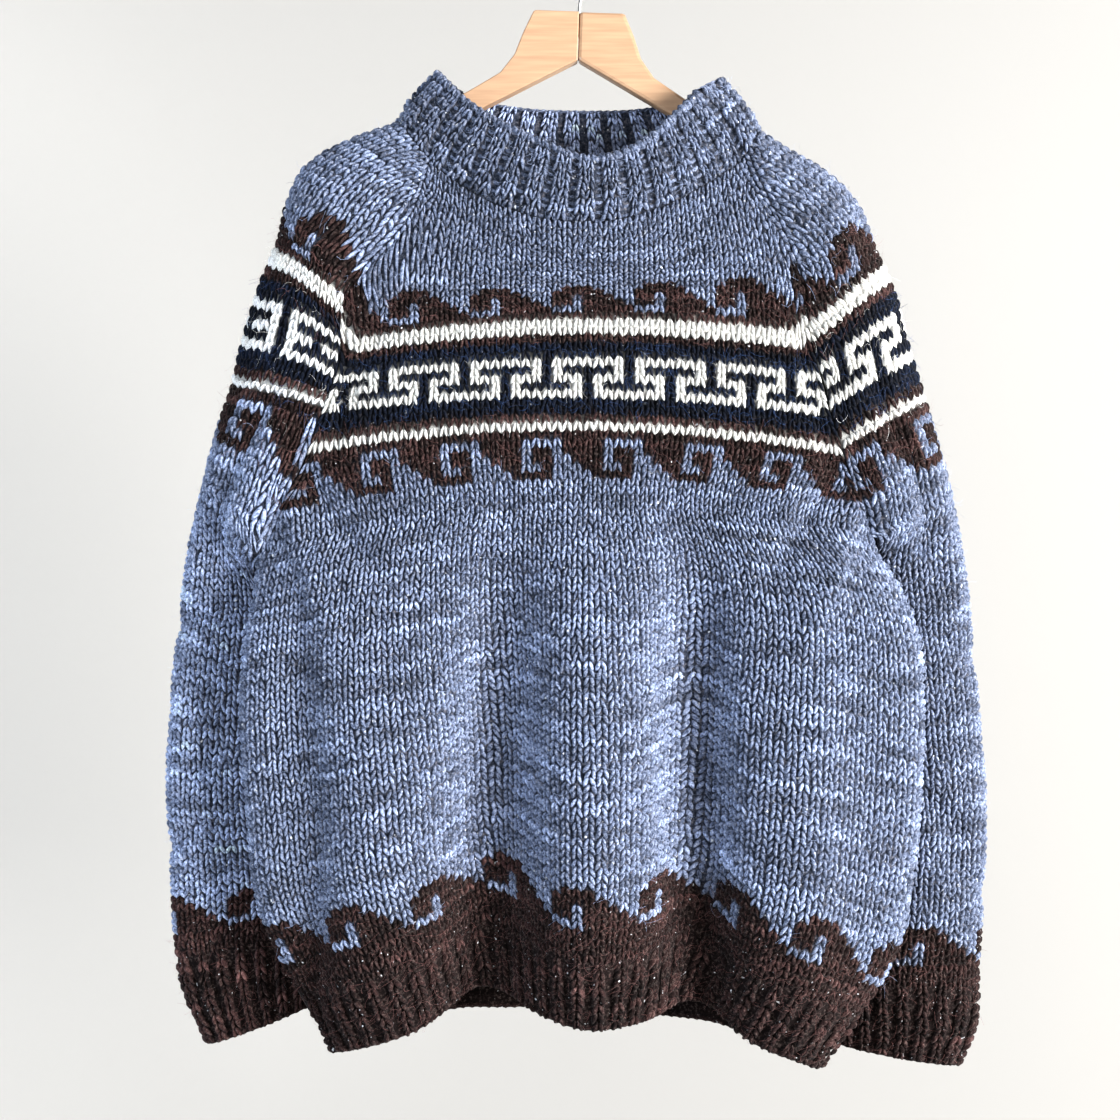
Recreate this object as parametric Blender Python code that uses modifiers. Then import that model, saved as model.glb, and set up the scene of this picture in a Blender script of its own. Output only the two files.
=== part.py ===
# A bulky hand-knit raglan pullover hanging on a wooden hanger.
# The origin is the inner top of the wire hook, where a peg holds it; the front faces -Y.
# Each cloth piece is a wall built from rows of knitting: row 0 meets the collar, row 43 the
# armpit, row 98 the hem rib, and on a sleeve row 103 the cuff.

import math

import bmesh
import bpy
import numpy as np

OBJECT_NAME = "knit_sweater_on_hanger"
MM = 0.001

WALL = 4.6 * MM
SEAM_GAP = 0.44 * MM
RIB_RISE = 1.7 * MM

# Knitting rows where the grids have their lines
YOKE_ROWS = [0, 4, 8, 11, 13, 16, 20, 24, 29, 33, 39, 43]
BODY_ROWS = [45, 49, 55, 63, 71, 79, 87, 93, 98]
SLEEVE_ROWS = [45, 48, 52, 57, 65, 73, 81, 89, 97, 103]
HEM_ROWS = [98, 101, 105, 110]
CUFF_ROWS = [103, 106, 111, 116]
ARMPIT_ROW = 43
NECK_SCOOP_ROWS = 7
NECK_SCOOP_FADE = 20

FRONT_COLUMNS = 24
BACK_COLUMNS = 16
SLEEVE_COLUMNS = 16
COLLAR_COLUMNS_PER_RIB = 4
CUFF_COLUMNS_PER_RIB = 2
COLLAR_SWELL = 3 * MM


def table(names, rows, scale=MM):
    """Columns by name; every column but the first is turned into metres."""
    columns = np.array(rows, float).T
    columns[1:] *= scale
    return dict(zip(names.split(), columns))


# The body's two edges: raglan seams down to the armpit, then the side lines. front_y and
# back_y are where the front and the back meet that edge, back_rise is how much higher the
# back seam lies.
EDGE = table(
    "row left_x left_z right_x right_z front_y back_y back_rise",
    [
        (0, -119, -189, 127, -186, -22, 23, 24),
        (4, -125, -215, 138, -208, -26, 25, 24),
        (8, -140, -243, 155, -236, -29, 26, 23),
        (11, -164, -269, 165, -259, -31, 26, 21),
        (13, -184, -290, 171, -276, -32, 26, 20),
        (16, -189, -313, 175, -300, -34, 26, 18),
        (20, -190, -336, 181, -332, -35, 25, 15),
        (24, -195, -359, 187, -357, -36, 23, 12),
        (29, -205, -388, 196, -391, -37, 18, 8),
        (33, -217, -420, 206, -421, -37, 10, 6),
        (39, -238, -465, 219, -458, -33, -11, 3),
        (43, -252, -497, 227, -484, -29, -21, 0),
        (45, -255, -510, 232, -498, -28, -28, 0),
        (49, -258, -533, 248, -524, -31, -31, 0),
        (55, -263, -567, 262, -561, -36, -36, 0),
        (63, -266, -612, 266, -611, -38, -38, 0),
        (71, -265, -659, 265, -662, -38, -38, 0),
        (79, -261, -706, 262, -714, -38, -38, 0),
        (87, -256, -757, 255, -765, -38, -38, 0),
        (93, -247, -789, 247, -804, -37, -37, 0),
        (98, -234, -819, 232, -837, -34, -34, 0),
        (104, -216, -855, 209, -869, -31, -31, 0),
        (110, -196, -888, 184, -900, -27, -27, 0),
    ],
)

# The middle of the front and of the back, and how far the front wraps round at its edges
MIDDLE = table(
    "row front_y front_z back_y back_z",
    [
        (0, -36, -193, 26, -186),
        (7, -41, -238, 28, -228),
        (13, -44, -277, 29, -268),
        (20, -48, -321, 29, -313),
        (29, -52, -377, 29, -371),
        (39, -57, -440, 28, -435),
        (49, -62, -497, 27, -499),
        (63, -66, -577, 25, -589),
        (79, -69, -668, 23, -692),
        (98, -69, -776, 21, -794),
        (110, -63, -853, 17, -868),
    ],
)
WRAP_START_ROW = 37
WRAP_FULL_ROW = 50

# Hanging folds: across is the fold's place at its first row and at the hem, forward is how
# far it stands out there (troughs are negative) and lift how much it raises the rows.
FOLD_NAMES = "first_row full_row top_x hem_x width forward lift"
FRONT_FOLDS = [
    dict(zip(FOLD_NAMES.split(), row))
    for row in [
        (34, 84, -64, -82, 31, -27, 19),
        (34, 80, 86, 92, 29, -29, 16),
        (38, 90, 8, 6, 34, 9, -7),
        (38, 86, -150, -160, 34, 7, 0),
        (38, 86, 176, 174, 32, 8, 3),
        (46, 76, -232, -214, 17, -6, 0),
    ]
]
BACK_FOLDS = [
    dict(zip(FOLD_NAMES.split(), row))
    for row in [
        (40, 90, -96, -104, 34, 11, 9),
        (46, 94, 12, 4, 38, 8, 7),
        (40, 88, 112, 108, 32, 12, 8),
    ]
]

# The sleeves' outer line, the depth of the tube and, below the armpit, its inner line
SLEEVE_OUTER = table(
    "row left_x left_z right_x right_z y half_depth",
    [
        (0, -147, -151, 142, -158, 0, 24),
        (4, -179, -162, 168, -174.4, 0, 27),
        (8, -210, -177, 193, -188.7, 0, 29),
        (11, -227, -193, 212, -205, 0, 30),
        (13, -235, -210, 222, -218, 1, 31),
        (18, -244, -244, 236, -252, 2, 31.5),
        (20, -249, -257, 242, -265, 2, 31.5),
        (24, -262, -289, 253, -292, 3, 30.5),
        (29, -274, -329, 264, -333, 4, 29),
        (33, -282, -360, 275, -367, 6, 27),
        (39, -296, -403, 289, -413, 8, 25),
        (43, -304, -434, 298, -446, 9, 22),
        (48, -312, -468, 305, -480, 10, 20),
        (57, -322, -524, 313, -537, 10, 21),
        (65, -328, -572, 318, -587, 9, 22),
        (73, -332, -621, 322, -638, 8, 22.5),
        (81, -335, -671, 326, -688, 8, 22.5),
        (89, -334, -720, 326, -739, 8, 22),
        (97, -331, -769, 324, -789, 8, 21.5),
        (103, -330, -806, 321, -827, 9, 21),
        (107, -326, -832, 320, -854, 10, 20),
        (111, -318, -861, 317, -882, 11, 19),
        (116, -302, -895, 305, -912, 12, 18),
    ],
)
SLEEVE_INNER = table(
    "row left_x left_z right_x right_z y",
    [
        (43, -252, -497, 227, -484, -28),
        (45, -262, -508, 237, -496, -6),
        (48, -256, -526, 232, -513, 5),
        (52, -240, -548, 217, -538, 10),
        (57, -225, -570, 202, -572, 12),
        (65, -214, -609, 192, -621, 14),
        (73, -206, -648, 187, -670, 15),
        (81, -202, -686, 185, -715, 15),
        (89, -201, -723, 187, -756, 16),
        (97, -203, -752, 190, -797, 16),
        (103, -206, -778, 193, -829, 16),
        (116, -215, -862, 205, -895, 16),
    ],
)

# The collar's rim, by rib from the right front raglan seam, round the front and the back
RIM = table(
    "rib x y z",
    [
        (0, 89, -24, -131),
        (1.4, 71, -33, -151),
        (3.2, 45, -39, -174),
        (6, 2, -42, -186),
        (8, -29, -40, -174),
        (10.4, -65, -35, -156),
        (12, -90, -26, -138),
        (14, -114, -4, -110),
        (16, -91, 19, -123),
        (18, -51, 27, -130),
        (20, -1, 29, -132),
        (22, 48, 27, -131),
        (24, 89, 19, -124),
        (26, 110, -4, -116),
        (28, 89, -24, -131),
    ],
)

# The hanger, drawn level with its flat top centred on the hook, then tipped to the right
HANGER_TILT = math.radians(1.9)
WOOD_THICKNESS = 12 * MM
WOOD_EDGE_RADIUS = 3.2 * MM
JOINT_GAP = 0.3 * MM
# Half of the outline, from the notch under the joint round the arm to the flat top
ARM_OUTLINE = [
    (0, -100),
    (73, -140),
    (118, -164),
    (160, -185),
    (192, -203),
    (200, -206),
    (206, -203),
    (205, -196),
    (193, -183),
    (168, -171),
    (142, -160),
    (112, -143),
    (84, -126),
    (62, -112),
    (51, -97),
    (45, -80),
    (37, -62),
    (35, -61),
    (0, -61),
]
HOOK_WIRE = 2.8 * MM
HOOK_RADIUS = 20 * MM
HOOK_SHANK_Z = -46 * MM
HOOK_FOOT_Z = -80 * MM
HOOK_TIP_ANGLE = math.radians(205)
HOOK_BORE_CLEARANCE = 0.3 * MM


def smooth(sheet, column, at):
    """A cubic through a table's rows, read at one row or an array of rows."""
    knots, values = sheet["row"], sheet[column]
    slopes = np.gradient(values, knots)
    at = np.clip(np.asarray(at, float), knots[0], knots[-1])
    low = np.clip(np.searchsorted(knots, at, side="right") - 1, 0, len(knots) - 2)
    span = knots[low + 1] - knots[low]
    t = (at - knots[low]) / span
    start = values[low] * (1 + 2 * t) * (1 - t) ** 2
    end = values[low + 1] * (3 - 2 * t) * t**2
    leave = slopes[low] * span * t * (1 - t) ** 2
    arrive = slopes[low + 1] * span * t**2 * (t - 1)
    return start + end + leave + arrive


def ease(value, start, end):
    """0 before start, 1 after end, and a soft rise between them."""
    t = np.clip((np.asarray(value, float) - start) / (end - start), 0, 1)
    return t * t * (3 - 2 * t)


def evenly(line, segments):
    """The same line with its points spread evenly along it."""
    steps = np.linalg.norm(np.diff(line, axis=0), axis=1)
    along = np.concatenate([[0], np.cumsum(steps)])
    at = np.linspace(0, along[-1], segments + 1)
    return np.stack([np.interp(at, along, line[:, k]) for k in range(3)], axis=1)


def fold_offsets(folds, x, row):
    """How far the folds push the cloth forward and lift its rows."""
    forward = np.zeros_like(x)
    lift = np.zeros_like(x)
    for fold in folds:
        grown = ease(row, fold["first_row"], fold["full_row"])
        down = ease(row, fold["first_row"], HEM_ROWS[-1])
        centre = (fold["top_x"] + (fold["hem_x"] - fold["top_x"]) * down) * MM
        bump = grown * np.exp(-(((x - centre) / (fold["width"] * MM)) ** 2))
        forward += fold["forward"] * MM * bump
        lift += fold["lift"] * MM * bump
    return forward, lift


def body_line(side, row, segments):
    """One row of the front or the back, from the wearer's left edge on the picture's right
    for the front, and the other way round for the back."""
    across = -np.cos(np.linspace(0, np.pi, 241))
    rows = np.full_like(across, row)
    if side == "front":
        fade = 1 - ease(row, 0, NECK_SCOOP_FADE)
        rows = rows + NECK_SCOOP_ROWS * fade * (1 - across**2)
    share = (across + 1) / 2
    left_x, right_x = smooth(EDGE, "left_x", row), smooth(EDGE, "right_x", row)
    rise = smooth(EDGE, "back_rise", row) if side == "back" else 0
    left_z = smooth(EDGE, "left_z", rows) + rise
    right_z = smooth(EDGE, "right_z", rows) + rise
    x = left_x + (right_x - left_x) * share
    edge_z = left_z + (right_z - left_z) * share
    z = edge_z + (smooth(MIDDLE, side + "_z", rows) - (left_z + right_z) / 2) * (1 - across**2)
    wrapped = ease(row, WRAP_START_ROW, WRAP_FULL_ROW)
    flat = 1 - across**2
    if side == "front":
        tube = (1 - np.abs(across) ** 2.6) ** 0.46
    else:
        tube = flat**0.8
    profile = (1 - wrapped) * flat + wrapped * tube
    edge_y = smooth(EDGE, side + "_y", row)
    y = edge_y + (smooth(MIDDLE, side + "_y", rows) - edge_y) * profile
    folds = FRONT_FOLDS if side == "front" else BACK_FOLDS
    forward, lift = fold_offsets(folds, x, row)
    inside = flat**0.3
    line = np.stack([x, y - forward * inside, z + lift * inside], axis=1)
    if side == "front":
        line = line[::-1]
    return evenly(line, segments)


def sleeve_line(side, row, segments):
    """One row of a sleeve, always outward-facing: the left one runs front, outside, back."""
    outer = np.array([smooth(SLEEVE_OUTER, side + "_x", row), smooth(SLEEVE_OUTER, side + "_z", row)])
    outer_y = smooth(SLEEVE_OUTER, "y", row)
    depth = smooth(SLEEVE_OUTER, "half_depth", row)
    if row <= ARMPIT_ROW:
        front = np.array([smooth(EDGE, side + "_x", row), smooth(EDGE, side + "_z", row)])
        back = front + np.array([0, smooth(EDGE, "back_rise", row)])
        front_y, back_y = smooth(EDGE, "front_y", row), smooth(EDGE, "back_y", row)
    else:
        front = np.array([smooth(SLEEVE_INNER, side + "_x", row), smooth(SLEEVE_INNER, side + "_z", row)])
        back = front
        front_y = back_y = smooth(SLEEVE_INNER, "y", row)
    inner_y, gap = (front_y + back_y) / 2, (back_y - front_y) / 2
    start = -math.acos(min(1, gap / depth))
    turn = np.linspace(start, math.pi / 2, 121)
    reach = (np.sin(turn) - math.sin(start)) / (1 - math.sin(start))
    halves = []
    for foot, sign in ((front, -1), (back, 1)):
        flat = foot + (outer - foot) * reach[:, None]
        y = inner_y + (outer_y - inner_y) * reach + sign * depth * np.cos(turn)
        halves.append(np.stack([flat[:, 0], y, flat[:, 1]], axis=1))
    line = np.concatenate([halves[0], halves[1][-2::-1]])
    if side == "right":
        line = line[::-1]
    return evenly(line, segments)


def finer(line, parts):
    """A line with each of its segments cut in equal parts."""
    shares = np.arange(parts) / parts
    starts, ends = line[:-1, None], line[1:, None]
    cut = (starts + (ends - starts) * shares[None, :, None]).reshape(-1, 3)
    return np.concatenate([cut, line[-1:]])


def join_ring(lines):
    """Lines laid end to end round a ring, which ends on its first point."""
    return np.concatenate([line[:-1] for line in lines] + [lines[0][:1]])


def neck_ring():
    """The neck edge, with as many points as the collar has columns."""
    return join_ring(
        [
            finer(body_line("front", 0, FRONT_COLUMNS), 2),
            sleeve_line("left", 0, SLEEVE_COLUMNS),
            finer(body_line("back", 0, BACK_COLUMNS), 2),
            sleeve_line("right", 0, SLEEVE_COLUMNS),
        ]
    )


def collar_points():
    """The collar from its rim down to the neck edge, and how high its ribs stand."""
    base = neck_ring()
    columns = len(base) - 1
    rib = np.arange(columns + 1) / COLLAR_COLUMNS_PER_RIB
    rim_sheet = dict(RIM, row=RIM["rib"])
    rim = np.stack([smooth(rim_sheet, axis, rib) for axis in "xyz"], axis=1)
    centre = base[:-1].mean(axis=0)
    shares = [0, 0.1, 0.55, 1]
    rows = []
    for share in shares:
        line = rim + (base - rim) * share
        out = line - centre
        out[:, 2] = 0
        out /= np.linalg.norm(out, axis=1)[:, None]
        rows.append(line + out * COLLAR_SWELL * math.sin(math.pi * share))
    pattern = np.where(np.arange(columns + 1) % COLLAR_COLUMNS_PER_RIB < 2, 1.0, 0.0)
    rise = np.array([0.6, 1, 1, 0.35])[:, None] * pattern[None, :] * RIB_RISE
    return np.array(rows), rise


def ring_rows(line_of, rows, rib_columns):
    """A ribbed ring under a seam: its rows of points, and how high its ribs stand."""
    points = np.array([line_of(row) for row in rows])
    columns = points.shape[1]
    pattern = (np.arange(columns) % rib_columns == 1).astype(float)
    rise = np.array([0, 0.25, 1, 0.8])[:, None] * pattern[None, :] * RIB_RISE
    return points, rise


def hem_line(row):
    front = finer(body_line("front", row, FRONT_COLUMNS), 2)
    back = finer(body_line("back", row, BACK_COLUMNS), 3)
    return join_ring([front, back])


def panel_points(side, columns):
    rows = YOKE_ROWS + BODY_ROWS
    points = np.array([body_line(side, row, columns) for row in rows])
    return points, np.zeros(points.shape[:2])


def sleeve_points(side):
    rows = YOKE_ROWS + SLEEVE_ROWS
    points = np.array([sleeve_line(side, row, SLEEVE_COLUMNS) for row in rows])
    return points, np.zeros(points.shape[:2])


def cuff_points(side):
    def line_of(row):
        return finer(sleeve_line(side, row, SLEEVE_COLUMNS), 2)

    return ring_rows(line_of, CUFF_ROWS, CUFF_COLUMNS_PER_RIB)


def grid_normals(points):
    """Area-weighted normals of a grid's points, not yet of unit length."""
    down, across = np.diff(points, axis=0), np.diff(points, axis=1)
    normals = np.zeros_like(points)
    corners = (
        (down[:, :-1], across[:-1], slice(0, -1), slice(0, -1)),
        (down[:, 1:], across[:-1], slice(0, -1), slice(1, None)),
        (down[:, :-1], across[1:], slice(1, None), slice(0, -1)),
        (down[:, 1:], across[1:], slice(1, None), slice(1, None)),
    )
    for fall, run, rows, columns in corners:
        normals[rows, columns] += np.cross(run, fall)
    return normals


def unit(vectors):
    return vectors / np.maximum(np.linalg.norm(vectors, axis=-1, keepdims=True), 1e-12)


def place_key(point):
    return tuple(np.round(point / (0.02 * MM)).astype(int))


def shared_normals(grids):
    """One normal for each place, shared by all the pieces that meet there."""
    total, owners = {}, {}
    for name, points in grids.items():
        for point, normal in zip(points.reshape(-1, 3), grid_normals(points).reshape(-1, 3)):
            key = place_key(point)
            total[key] = total.get(key, np.zeros(3)) + normal
            owners.setdefault(key, set()).add(name)
    shared = {}
    for name, points in grids.items():
        keys = [place_key(point) for point in points.reshape(-1, 3)]
        normals = unit(np.array([total[key] for key in keys])).reshape(points.shape)
        met = np.array([len(owners[key]) > 1 for key in keys]).reshape(points.shape[:2])
        for row in range(len(points)):
            columns = np.flatnonzero(met[row])
            if met[row, 0] and met[row, -1] and len(columns) > 2:
                steps = np.arange(points.shape[1])
                for axis in range(3):
                    normals[row, :, axis] = np.interp(steps, columns, normals[row, columns, axis])
        shared[name] = unit(normals)
    return shared


def step_back(points, border, inner, closed):
    """Moves a seam's border into its own cloth, square to the seam, by half the gap."""
    border_line, inner_line = points[border], points[inner]
    tangent = np.gradient(border_line, axis=0)
    if closed:
        tangent[0] = tangent[-1] = border_line[1] - border_line[-2]
    tangent = unit(tangent)
    inward = inner_line - border_line
    inward -= (inward * tangent).sum(axis=1)[:, None] * tangent
    return unit(inward) * SEAM_GAP / 2


def wall(name, points, rise, normals, seams, ring, collection, material):
    """A closed wall of cloth on a grid of middle points. seams says which borders meet
    another piece, down to which row, and ring whether the grid closes on itself."""
    moved = points.copy()
    whole = slice(None)
    borders = {
        "top": ((0, whole), (1, whole)),
        "bottom": ((-1, whole), (-2, whole)),
        "first": ((whole, 0), (whole, 1)),
        "last": ((whole, -1), (whole, -2)),
    }
    for seam, last_row in seams.items():
        border, inner = borders[seam]
        shift = step_back(points, border, inner, ring and seam in ("top", "bottom"))
        if last_row is not None:
            shift[last_row:] = 0
        moved[border] += shift
    inner_points = moved - normals * (WALL / 2)
    outer_points = moved + normals * (WALL / 2 + rise[:, :, None])
    rows, columns = points.shape[:2]
    mesh = bmesh.new()
    bmesh.ops.create_grid(mesh, x_segments=columns - 1, y_segments=rows - 1, size=1)
    mesh.verts.ensure_lookup_table()
    index = mesh.verts.layers.int.new("index")
    for number, vertex in enumerate(mesh.verts):
        vertex[index] = number
        vertex.co = moved.reshape(-1, 3)[number]
    bmesh.ops.remove_doubles(mesh, verts=mesh.verts[:], dist=0.02 * MM)
    base = set(mesh.verts)
    made = bmesh.ops.extrude_face_region(mesh, geom=mesh.faces[:], use_keep_orig=True)
    for vertex in base:
        vertex.co = inner_points.reshape(-1, 3)[vertex[index]]
    for vertex in made["geom"]:
        if isinstance(vertex, bmesh.types.BMVert):
            vertex.co = outer_points.reshape(-1, 3)[vertex[index]]
    for face in mesh.faces[:]:
        inner = [vertex for vertex in face.verts if vertex in base]
        if len(inner) == 2:
            split_border(face, inner, index, columns)
    bmesh.ops.recalc_face_normals(mesh, faces=mesh.faces[:])
    return link_mesh(name, mesh, collection, material)


def split_border(face, inner, index, columns):
    """Cuts a face of a border from its first outer point to its second inner point, so the
    twist of a seam is the same on both pieces."""
    outer = [vertex for vertex in face.verts if vertex not in inner]
    low, high = sorted(vertex[index] for vertex in inner)
    if high - low == columns - 2 and low // columns == high // columns:
        low, high = high, low
    start = next(vertex for vertex in outer if vertex[index] == low)
    end = next(vertex for vertex in inner if vertex[index] == high)
    bmesh.utils.face_split(face, start, end)


def link_mesh(name, mesh, collection, material):
    data = bpy.data.meshes.new(name)
    mesh.to_mesh(data)
    mesh.free()
    data.shade_smooth()
    data.set_sharp_from_angle(angle=math.radians(50))
    data.materials.append(material)
    piece = bpy.data.objects.new(name, data)
    collection.objects.link(piece)
    return piece


def make_material(name, colour, roughness, metallic=0.0):
    material = bpy.data.materials.new(name)
    material.use_nodes = True
    shader = material.node_tree.nodes["Principled BSDF"]
    shader.inputs["Base Color"].default_value = (*colour, 1)
    shader.inputs["Roughness"].default_value = roughness
    shader.inputs["Metallic"].default_value = metallic
    return material


def build_cloth(collection):
    ribbing = {
        "collar": collar_points(),
        "hem_rib": ring_rows(hem_line, HEM_ROWS, 2),
        "cuff_left": cuff_points("left"),
        "cuff_right": cuff_points("right"),
    }
    panels = {
        "body_front": panel_points("front", FRONT_COLUMNS),
        "body_back": panel_points("back", BACK_COLUMNS),
        "sleeve_left": sleeve_points("left"),
        "sleeve_right": sleeve_points("right"),
    }
    grids = {name: points for name, (points, _) in {**panels, **ribbing}.items()}
    normals = shared_normals(grids)
    under_armpit = len(YOKE_ROWS)
    seams = {
        "body_front": {"top": None, "bottom": None, "first": None, "last": None},
        "body_back": {"top": None, "bottom": None, "first": None, "last": None},
        "sleeve_left": {"top": None, "bottom": None, "first": under_armpit, "last": under_armpit},
        "sleeve_right": {"top": None, "bottom": None, "first": under_armpit, "last": under_armpit},
        "collar": {"bottom": None},
        "hem_rib": {"top": None},
        "cuff_left": {"top": None},
        "cuff_right": {"top": None},
    }
    blue, brown = (0.155, 0.2, 0.32), (0.035, 0.02, 0.016)
    for name, (points, rise) in {**panels, **ribbing}.items():
        colour = brown if name.startswith(("hem", "cuff")) else blue
        material = make_material(name + "_wool", colour, 0.95)
        ring = not name.startswith("body")
        wall(name, points, rise, normals[name], seams[name], ring, collection, material)


def hanger_point(x, z):
    """A point of the level hanger, turned about the hook with the hanger's tilt."""
    lean = -HANGER_TILT
    return (x * math.cos(lean) - z * math.sin(lean), x * math.sin(lean) + z * math.cos(lean))


def curve_mesh(curve, collection):
    """The closed surface of a curve, in a mesh that can be worked on."""
    drawn = bpy.data.objects.new(curve.name, curve)
    collection.objects.link(drawn)
    bpy.context.view_layer.update()
    data = bpy.data.meshes.new_from_object(drawn.evaluated_get(bpy.context.evaluated_depsgraph_get()))
    bpy.data.objects.remove(drawn)
    mesh = bmesh.new()
    mesh.from_mesh(data)
    bpy.data.meshes.remove(data)
    bmesh.ops.remove_doubles(mesh, verts=mesh.verts[:], dist=0.01 * MM)
    return mesh


def build_arm(name, side, bore, collection, material):
    outline = bpy.data.curves.new(name, "CURVE")
    outline.dimensions = "2D"
    outline.fill_mode = "BOTH"
    outline.extrude = WOOD_THICKNESS / 2
    spline = outline.splines.new("POLY")
    spline.points.add(len(ARM_OUTLINE) - 1)
    spline.use_cyclic_u = True
    for point, (x, z) in zip(spline.points, ARM_OUTLINE):
        point.co = (side * (x * MM + (JOINT_GAP / 2 if x == 0 else 0)), z * MM, 0, 1)
    mesh = curve_mesh(outline, collection)
    for vertex in mesh.verts:
        x, z = hanger_point(vertex.co.x, vertex.co.y)
        vertex.co = (x, -vertex.co.z, z)
    bmesh.ops.recalc_face_normals(mesh, faces=mesh.faces[:])
    piece = link_mesh(name, mesh, collection, material)
    bevel = piece.modifiers.new("rounded edges", "BEVEL")
    bevel.width = WOOD_EDGE_RADIUS
    bevel.segments = 2
    bevel.limit_method = "ANGLE"
    bevel.angle_limit = math.radians(60)
    drill = piece.modifiers.new("hook bore", "BOOLEAN")
    drill.operation = "DIFFERENCE"
    drill.object = bore
    return piece


def build_bore(collection):
    radius = HOOK_WIRE / 2 + HOOK_BORE_CLEARANCE
    top, bottom = -50 * MM, HOOK_FOOT_Z - HOOK_BORE_CLEARANCE
    bpy.ops.mesh.primitive_cylinder_add(
        vertices=16,
        radius=radius,
        depth=top - bottom,
    )
    bore = bpy.context.active_object
    bore.name = "hook_bore"
    bore.rotation_euler = (0, HANGER_TILT, 0)
    middle = hanger_point(0, (top + bottom) / 2)
    bore.location = (middle[0], 0, middle[1])
    for group in bore.users_collection:
        group.objects.unlink(bore)
    collection.objects.link(bore)
    bore.hide_render = True
    bore.display_type = "WIRE"
    return bore


def build_hook(collection, material):
    """The wire: a straight foot in the wood, a bend out to the right and the round hook."""
    centre_z = HOOK_WIRE / 2 - HOOK_RADIUS
    points = [hanger_point(0, HOOK_FOOT_Z), hanger_point(0, HOOK_SHANK_Z - 10 * MM)]
    points += [hanger_point(1 * MM, HOOK_SHANK_Z), (9 * MM, HOOK_SHANK_Z + 8 * MM)]
    points += [(17 * MM, centre_z - 12 * MM)]
    steps = 16
    for step in range(steps + 1):
        angle = -math.radians(15) + (HOOK_TIP_ANGLE + math.radians(15)) * step / steps
        points.append((HOOK_RADIUS * math.cos(angle), centre_z + HOOK_RADIUS * math.sin(angle)))
    wire = bpy.data.curves.new("hanger_hook", "CURVE")
    wire.dimensions = "3D"
    wire.bevel_depth = HOOK_WIRE / 2
    wire.bevel_resolution = 2
    wire.use_fill_caps = True
    spline = wire.splines.new("POLY")
    spline.points.add(len(points) - 1)
    for point, (x, z) in zip(spline.points, points):
        point.co = (x, 0, z, 1)
    return link_mesh("hanger_hook", curve_mesh(wire, collection), collection, material)


def build_hanger(collection, cutters):
    bore = build_bore(cutters)
    beech = (0.72, 0.47, 0.26)
    for name, side in (("hanger_arm_left", -1), ("hanger_arm_right", 1)):
        build_arm(name, side, bore, collection, make_material(name + "_beech", beech, 0.5))
    build_hook(collection, make_material("hook_steel", (0.6, 0.6, 0.6), 0.3, 1.0))


def main():
    for old in list(bpy.data.objects):
        bpy.data.objects.remove(old)
    collection = bpy.data.collections.new(OBJECT_NAME)
    cutters = bpy.data.collections.new("cutters")
    bpy.context.scene.collection.children.link(collection)
    bpy.context.scene.collection.children.link(cutters)
    build_cloth(collection)
    build_hanger(collection, cutters)


main()
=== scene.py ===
import math
import bpy
import bmesh
import numpy as np
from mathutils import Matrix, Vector


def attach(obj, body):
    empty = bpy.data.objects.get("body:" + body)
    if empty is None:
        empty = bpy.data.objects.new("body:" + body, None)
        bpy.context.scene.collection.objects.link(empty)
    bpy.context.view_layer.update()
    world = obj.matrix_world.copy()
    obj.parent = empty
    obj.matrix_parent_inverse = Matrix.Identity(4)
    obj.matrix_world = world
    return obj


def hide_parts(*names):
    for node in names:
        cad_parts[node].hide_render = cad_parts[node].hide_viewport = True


# A hand-knit raglan pullover on a wooden hanger. Its forms follow rows of knitting: row 0 is
# at the collar, 43 at the armpit, 98 at the hem rib and, on a sleeve, 103 at the cuff.
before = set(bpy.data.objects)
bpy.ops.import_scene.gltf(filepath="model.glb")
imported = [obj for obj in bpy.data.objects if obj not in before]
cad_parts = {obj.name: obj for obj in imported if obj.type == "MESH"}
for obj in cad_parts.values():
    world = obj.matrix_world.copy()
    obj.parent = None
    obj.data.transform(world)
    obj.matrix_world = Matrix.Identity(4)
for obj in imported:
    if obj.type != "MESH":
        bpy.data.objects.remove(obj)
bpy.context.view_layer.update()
print("frame loaded:", len(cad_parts), "nodes")

mm = 0.001
rowTall = 6  # mm of cloth that a row of knitting takes, about
neckScoop = 7  # rows that the front's neck edge dips in the middle
armpitRow, hemRow, hemEnd, cuffRow, cuffEnd = 43, 98, 110, 103, 116
collarRows = 9
random = np.random.default_rng(11)


# The forms of the cloth, from the same sizes as the solids

def sizeTable(names, rows):
    columns = np.array(rows, float).T
    columns[1:] *= mm
    return dict(zip(names.split(), columns))


edges = sizeTable("row leftX leftZ rightX rightZ frontY backY backRise", [
    (0, -119, -189, 127, -186, -22, 23, 24),
    (4, -125, -215, 138, -208, -26, 25, 24),
    (8, -140, -243, 155, -236, -29, 26, 23),
    (11, -164, -269, 165, -259, -31, 26, 21),
    (13, -184, -290, 171, -276, -32, 26, 20),
    (16, -189, -313, 175, -300, -34, 26, 18),
    (20, -190, -336, 181, -332, -35, 25, 15),
    (24, -195, -359, 187, -357, -36, 23, 12),
    (29, -205, -388, 196, -391, -37, 18, 8),
    (33, -217, -420, 206, -421, -37, 10, 6),
    (39, -238, -465, 219, -458, -33, -11, 3),
    (43, -252, -497, 227, -484, -29, -21, 0),
    (45, -255, -510, 232, -498, -28, -28, 0),
    (49, -258, -533, 248, -524, -31, -31, 0),
    (55, -263, -567, 262, -561, -36, -36, 0),
    (63, -266, -612, 266, -611, -38, -38, 0),
    (71, -265, -659, 265, -662, -38, -38, 0),
    (79, -261, -706, 262, -714, -38, -38, 0),
    (87, -256, -757, 255, -765, -38, -38, 0),
    (93, -247, -789, 247, -804, -37, -37, 0),
    (98, -234, -819, 232, -837, -34, -34, 0),
    (104, -216, -855, 209, -869, -31, -31, 0),
    (110, -196, -888, 184, -900, -27, -27, 0),
])
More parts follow.
